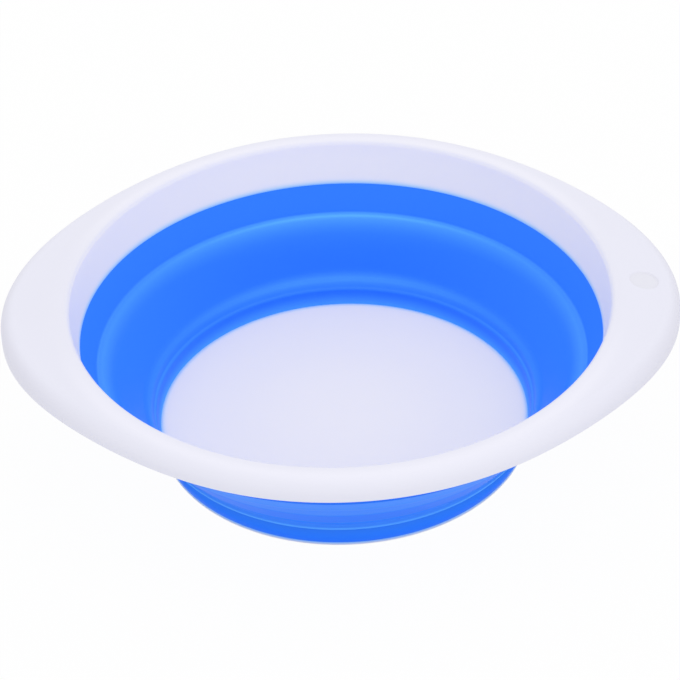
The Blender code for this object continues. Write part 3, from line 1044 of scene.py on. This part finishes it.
def floor_material(studio):
    """Pale floor: diffuse, so that it keeps some shadow, and mostly plain white for the camera."""
    material, shader, nodes, links = principled("pale_floor")
    shader.inputs["Base Color"].default_value = (*studio.floor, 1)
    shader.inputs["Roughness"].default_value = 0.9
    shader.inputs["Specular IOR Level"].default_value = 0.0
    glow = nodes.new("ShaderNodeEmission")
    factor = nodes.new("ShaderNodeMath")
    factor.operation = "MULTIPLY"
    factor.inputs[1].default_value = studio.floor_glow
    links.new(background_factor(nodes, links), factor.inputs[0])
    mix = nodes.new("ShaderNodeMixShader")
    links.new(factor.outputs[0], mix.inputs["Fac"])
    links.new(shader.outputs["BSDF"], mix.inputs[1])
    links.new(glow.outputs["Emission"], mix.inputs[2])
    links.new(mix.outputs["Shader"], nodes["Material Output"].inputs["Surface"])
    return material


def add_floor(scene):
    """Large square floor under the basin."""
    corners = np.array([[-1, -1, 0], [1, -1, 0], [1, 1, 0], [-1, 1, 0]]) * FLOOR_REACH
    mesh = polygon_mesh("floor", corners, np.array([[0, 1, 2, 3]]))
    mesh.materials.append(floor_material(scene.basin_studio))
    floor = bpy.data.objects.new("floor", mesh)
    scene.collection.objects.link(floor)


def add_surroundings(scene):
    """World that is plain white for the camera and in gloss, and lights the basin by its own strength."""
    world = bpy.data.worlds.new("surroundings")
    world.use_nodes = True
    scene.world = world
    nodes = world.node_tree.nodes
    links = world.node_tree.links
    ambient = nodes["Background"]
    ambient.inputs["Color"].default_value = (1, 1, 1, 1)
    ambient.inputs["Strength"].default_value = scene.basin_studio.world
    white = nodes.new("ShaderNodeBackground")
    white.inputs["Color"].default_value = (1, 1, 1, 1)
    mix = nodes.new("ShaderNodeMixShader")
    links.new(background_factor(nodes, links), mix.inputs["Fac"])
    links.new(ambient.outputs["Background"], mix.inputs[1])
    links.new(white.outputs["Background"], mix.inputs[2])
    links.new(mix.outputs["Shader"], nodes["World Output"].inputs["Surface"])


def add_softbox(scene):
    """Large square area light in the sky right of the camera, turned to face the basin."""
    studio = scene.basin_studio
    light = bpy.data.lights.new("softbox_right", "AREA")
    light.shape = "SQUARE"
    light.size = SOFTBOX_SIZE
    light.energy = studio.side
    lamp = bpy.data.objects.new("softbox_right", light)
    scene.collection.objects.link(lamp)
    flat = math.cos(studio.side_height)
    turn = studio.side_turn
    away = Vector((math.cos(turn) * flat, math.sin(turn) * flat, math.sin(studio.side_height)))
    lamp.location = Vector((0, 0, SOFTBOX_AIM)) + SOFTBOX_DISTANCE * away
    lamp.rotation_euler = away.to_track_quat("Z", "Y").to_euler()


class BASIN_OT_stage(bpy.types.Operator):
    """Makes the camera, the pale floor, the surroundings and the softbox"""

    bl_idname = "basin.stage"
    bl_label = "Stage"

    def execute(self, context):
        scene = context.scene
        add_camera(scene)
        add_floor(scene)
        add_surroundings(scene)
        add_softbox(scene)
        scene.view_settings.view_transform = "Standard"
        return {"FINISHED"}


class BASIN_PT_panel(bpy.types.Panel):
    """Lists the basin's pieces and sizes"""

    bl_label = "Collapsible wash basin"
    bl_idname = "BASIN_PT_panel"
    bl_space_type = "VIEW_3D"
    bl_region_type = "UI"
    bl_category = "Basin"

    def draw(self, context):
        column = self.layout.column(align=True)
        for operator in OPERATORS:
            column.operator(operator.bl_idname)
        for name in GROUPS:
            settings = getattr(context.scene, name)
            box = self.layout.box()
            box.label(text=name.replace("_", " ").capitalize())
            for key in settings.__annotations__:
                box.prop(settings, key)


OPERATORS = (
    BASIN_OT_rim,
    BASIN_OT_ear_ribs,
    BASIN_OT_wall,
    BASIN_OT_collar,
    BASIN_OT_bead,
    BASIN_OT_base,
    BASIN_OT_stage,
)
CLASSES = (*GROUPS.values(), *OPERATORS, BASIN_PT_panel)


def register():
    """Registers the classes and puts the property groups on the scene."""
    for item in CLASSES:
        bpy.utils.register_class(item)
    for name, group in GROUPS.items():
        setattr(bpy.types.Scene, name, PointerProperty(type=group))


def unregister():
    """Takes the property groups off the scene and removes the classes."""
    for name in GROUPS:
        delattr(bpy.types.Scene, name)
    for item in reversed(CLASSES):
        bpy.utils.unregister_class(item)


def main():
    """Makes every piece and the stage."""
    register()
    for operator in OPERATORS:
        group, name = operator.bl_idname.split(".")
        getattr(getattr(bpy.ops, group), name)()


if __name__ == "__main__":
    main()
